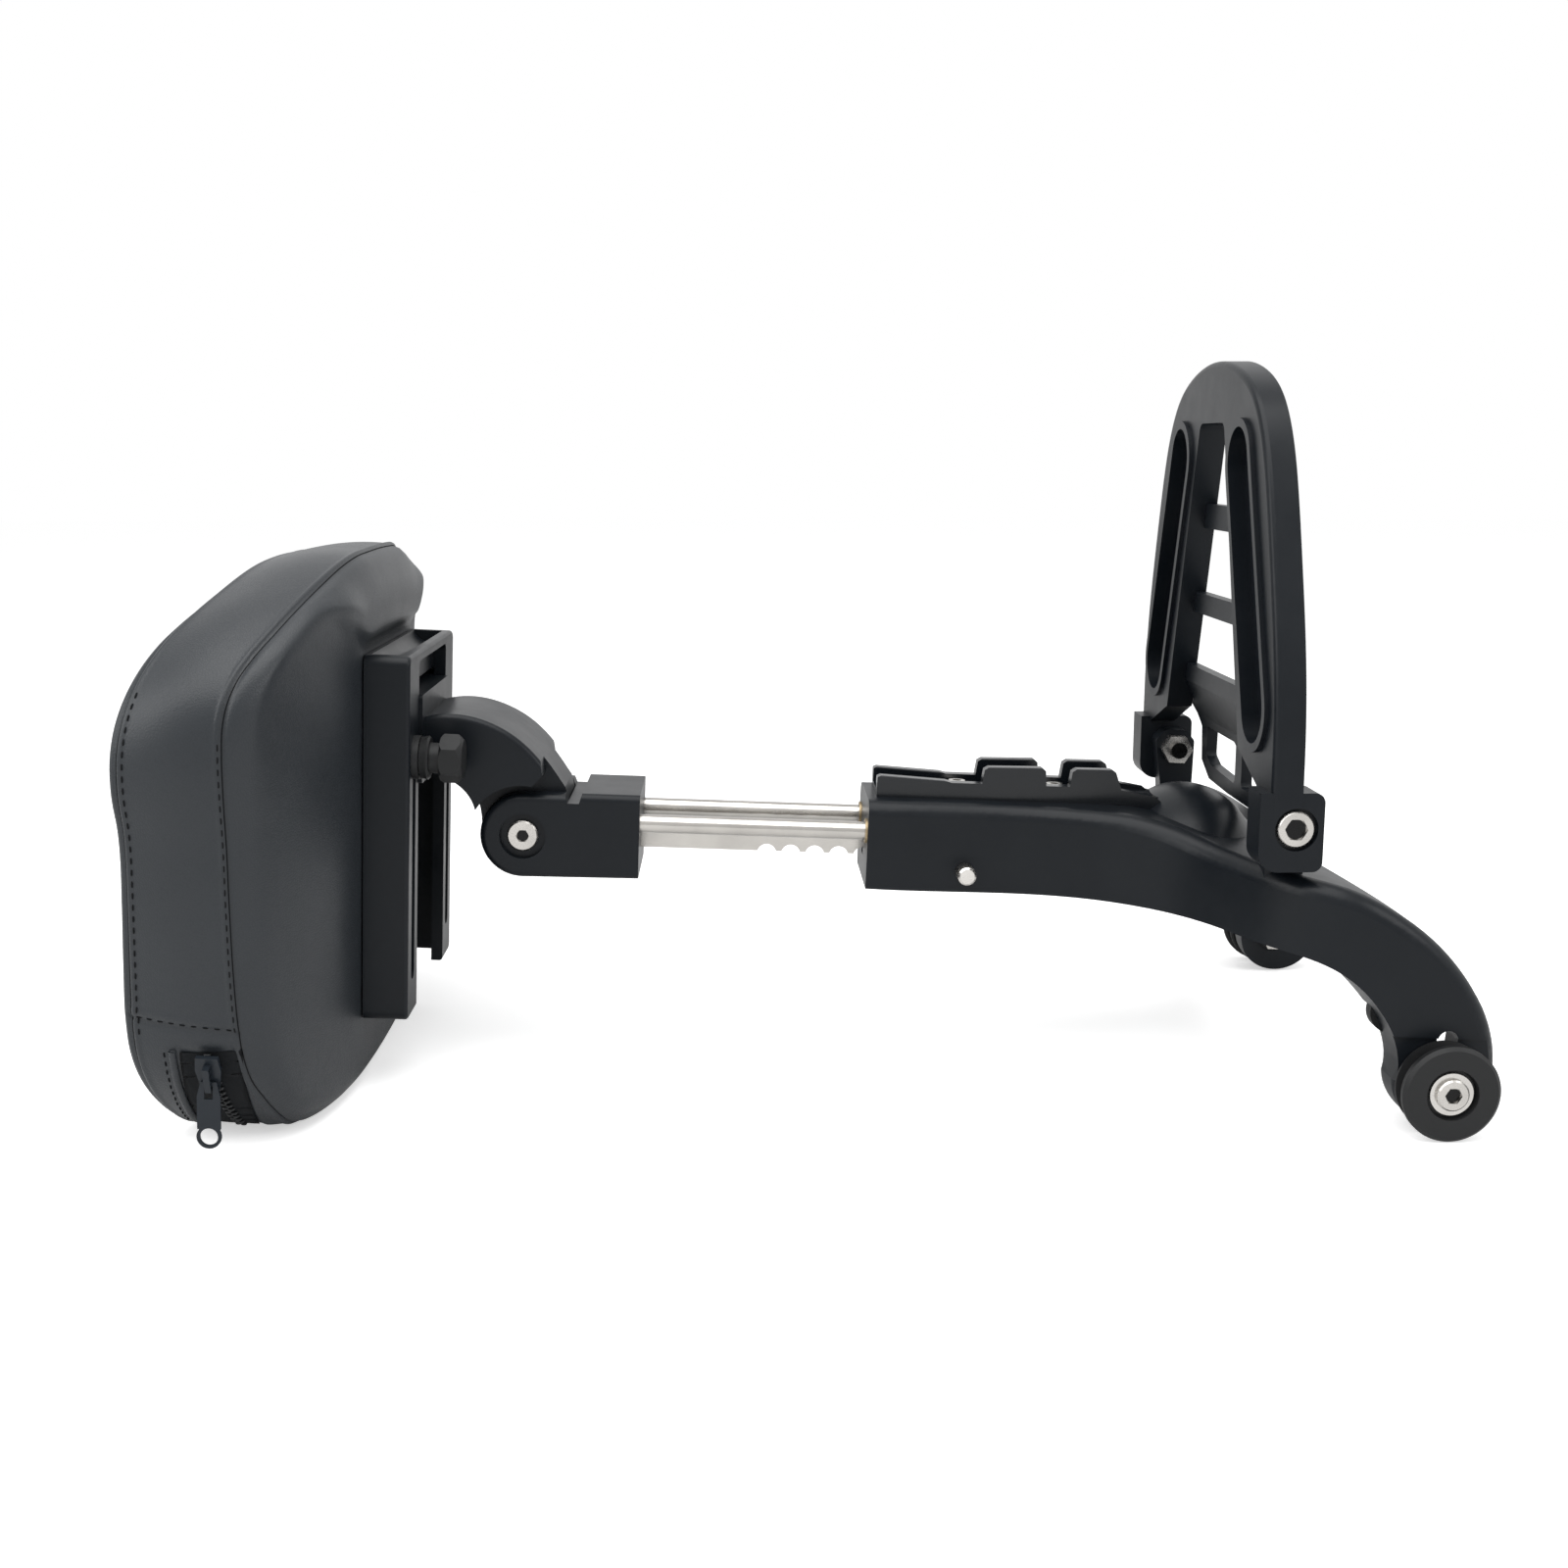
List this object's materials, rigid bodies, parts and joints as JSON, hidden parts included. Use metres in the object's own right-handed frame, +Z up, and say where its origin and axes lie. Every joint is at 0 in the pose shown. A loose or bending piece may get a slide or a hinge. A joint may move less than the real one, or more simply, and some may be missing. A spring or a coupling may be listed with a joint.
{
  "type": "motorcycle driver backrest",
  "caption": "Detachable motorcycle driver backrest: padded rest on a folding arm with sliding guide rods, a flared docking beam and a folding luggage rack.",
  "frame": {"origin": "centre of the bounding box on the floor that the pad and the docking bobbins stand on", "axes": "+Z up, +X along the motorcycle from the pad towards the docking legs, +Y across it"},
  "size_m": [0.5289, 0.2886, 0.3047],
  "materials": {
    "satin_black_casting": "satin black powder coat over cast aluminium",
    "semi_gloss_black": "semi-gloss black",
    "black_polymer": "matte moulded",
    "stainless": "ground and polished",
    "bronze": "machined",
    "black_vinyl": "fine grained upholstery vinyl, soft sheen",
    "zip_tape": "moulded coil on woven tape",
    "zip_metal": "black enamel"
  },
  "bodies": {
    "beam": {"main_beam": "satin_black_casting", "rail_bracket": "semi_gloss_black", "rail_screws": "stainless", "rod_bushes": "bronze", "docking_bobbin_left": "black_polymer", "docking_bobbin_right": "black_polymer", "bobbin_washers": "stainless", "bobbin_screws": "stainless", "bobbin_nuts": "stainless", "leg_caps": "black_polymer", "hinge_screws": "stainless", "hinge_nuts": "stainless"},
    "pin": {"lock_pin": "stainless"},
    "slider": {"guide_rod_left": "stainless", "guide_rod_right": "stainless", "lock_bar": "stainless", "fork_block": "satin_black_casting", "pivot_pin": "stainless", "pivot_screws": "stainless"},
    "arm": {"arm": "satin_black_casting", "clamp_washers": "black_polymer"},
    "knob_left": {"clamp_knob_left": "black_polymer"},
    "knob_right": {"clamp_knob_right": "black_polymer"},
    "pad": {"tray_bracket": "satin_black_casting", "tray_screws": "stainless", "back_panel": "black_vinyl", "pad_cushion": "black_vinyl", "zip_chain": "zip_tape", "zip_slider": "zip_metal"},
    "pull": {"zip_pull": "zip_metal"},
    "rack": {"rack_frame": "satin_black_casting"}
  },
  "joints": [
    {"name": "reach", "type": "slide", "parent": "beam", "child": "slider", "axis": [0.9992, 0, -0.0401], "range_m": [-0.0216, 0.0864]},
    {"name": "lock_push", "type": "slide", "parent": "beam", "child": "pin", "axis": [0, 1, 0], "range_m": [0, 0.009], "stiffness_N_per_m": 300},
    {"name": "fold", "type": "hinge", "parent": "slider", "child": "arm", "pos_m": [-0.13022, 0, 0.10269], "axis": [0, -1, 0], "range_deg": [0, 75]},
    {"name": "pad_height", "type": "slide", "parent": "arm", "child": "pad", "axis": [0.0471, 0, 0.9989], "range_m": [0, 0.092]},
    {"name": "knob_left_turn", "type": "hinge", "parent": "arm", "child": "knob_left", "pos_m": [-0.15847, -0.045, 0.14047], "axis": [0.9989, 0, -0.0471], "continuous": true},
    {"name": "knob_right_turn", "type": "hinge", "parent": "arm", "child": "knob_right", "pos_m": [-0.15847, 0.045, 0.14047], "axis": [0.9989, 0, -0.0471], "continuous": true},
    {"name": "pull_swing", "type": "hinge", "parent": "pad", "child": "pull", "pos_m": [-0.23716, -0.13704, 0.0322], "axis": [-1, 0, 0], "range_deg": [0, 120]},
    {"name": "rack_fold", "type": "hinge", "parent": "beam", "child": "rack", "pos_m": [0.1808, 0, 0.12173], "axis": [0, -1, 0], "range_deg": [0, 87.5]}
  ]
}
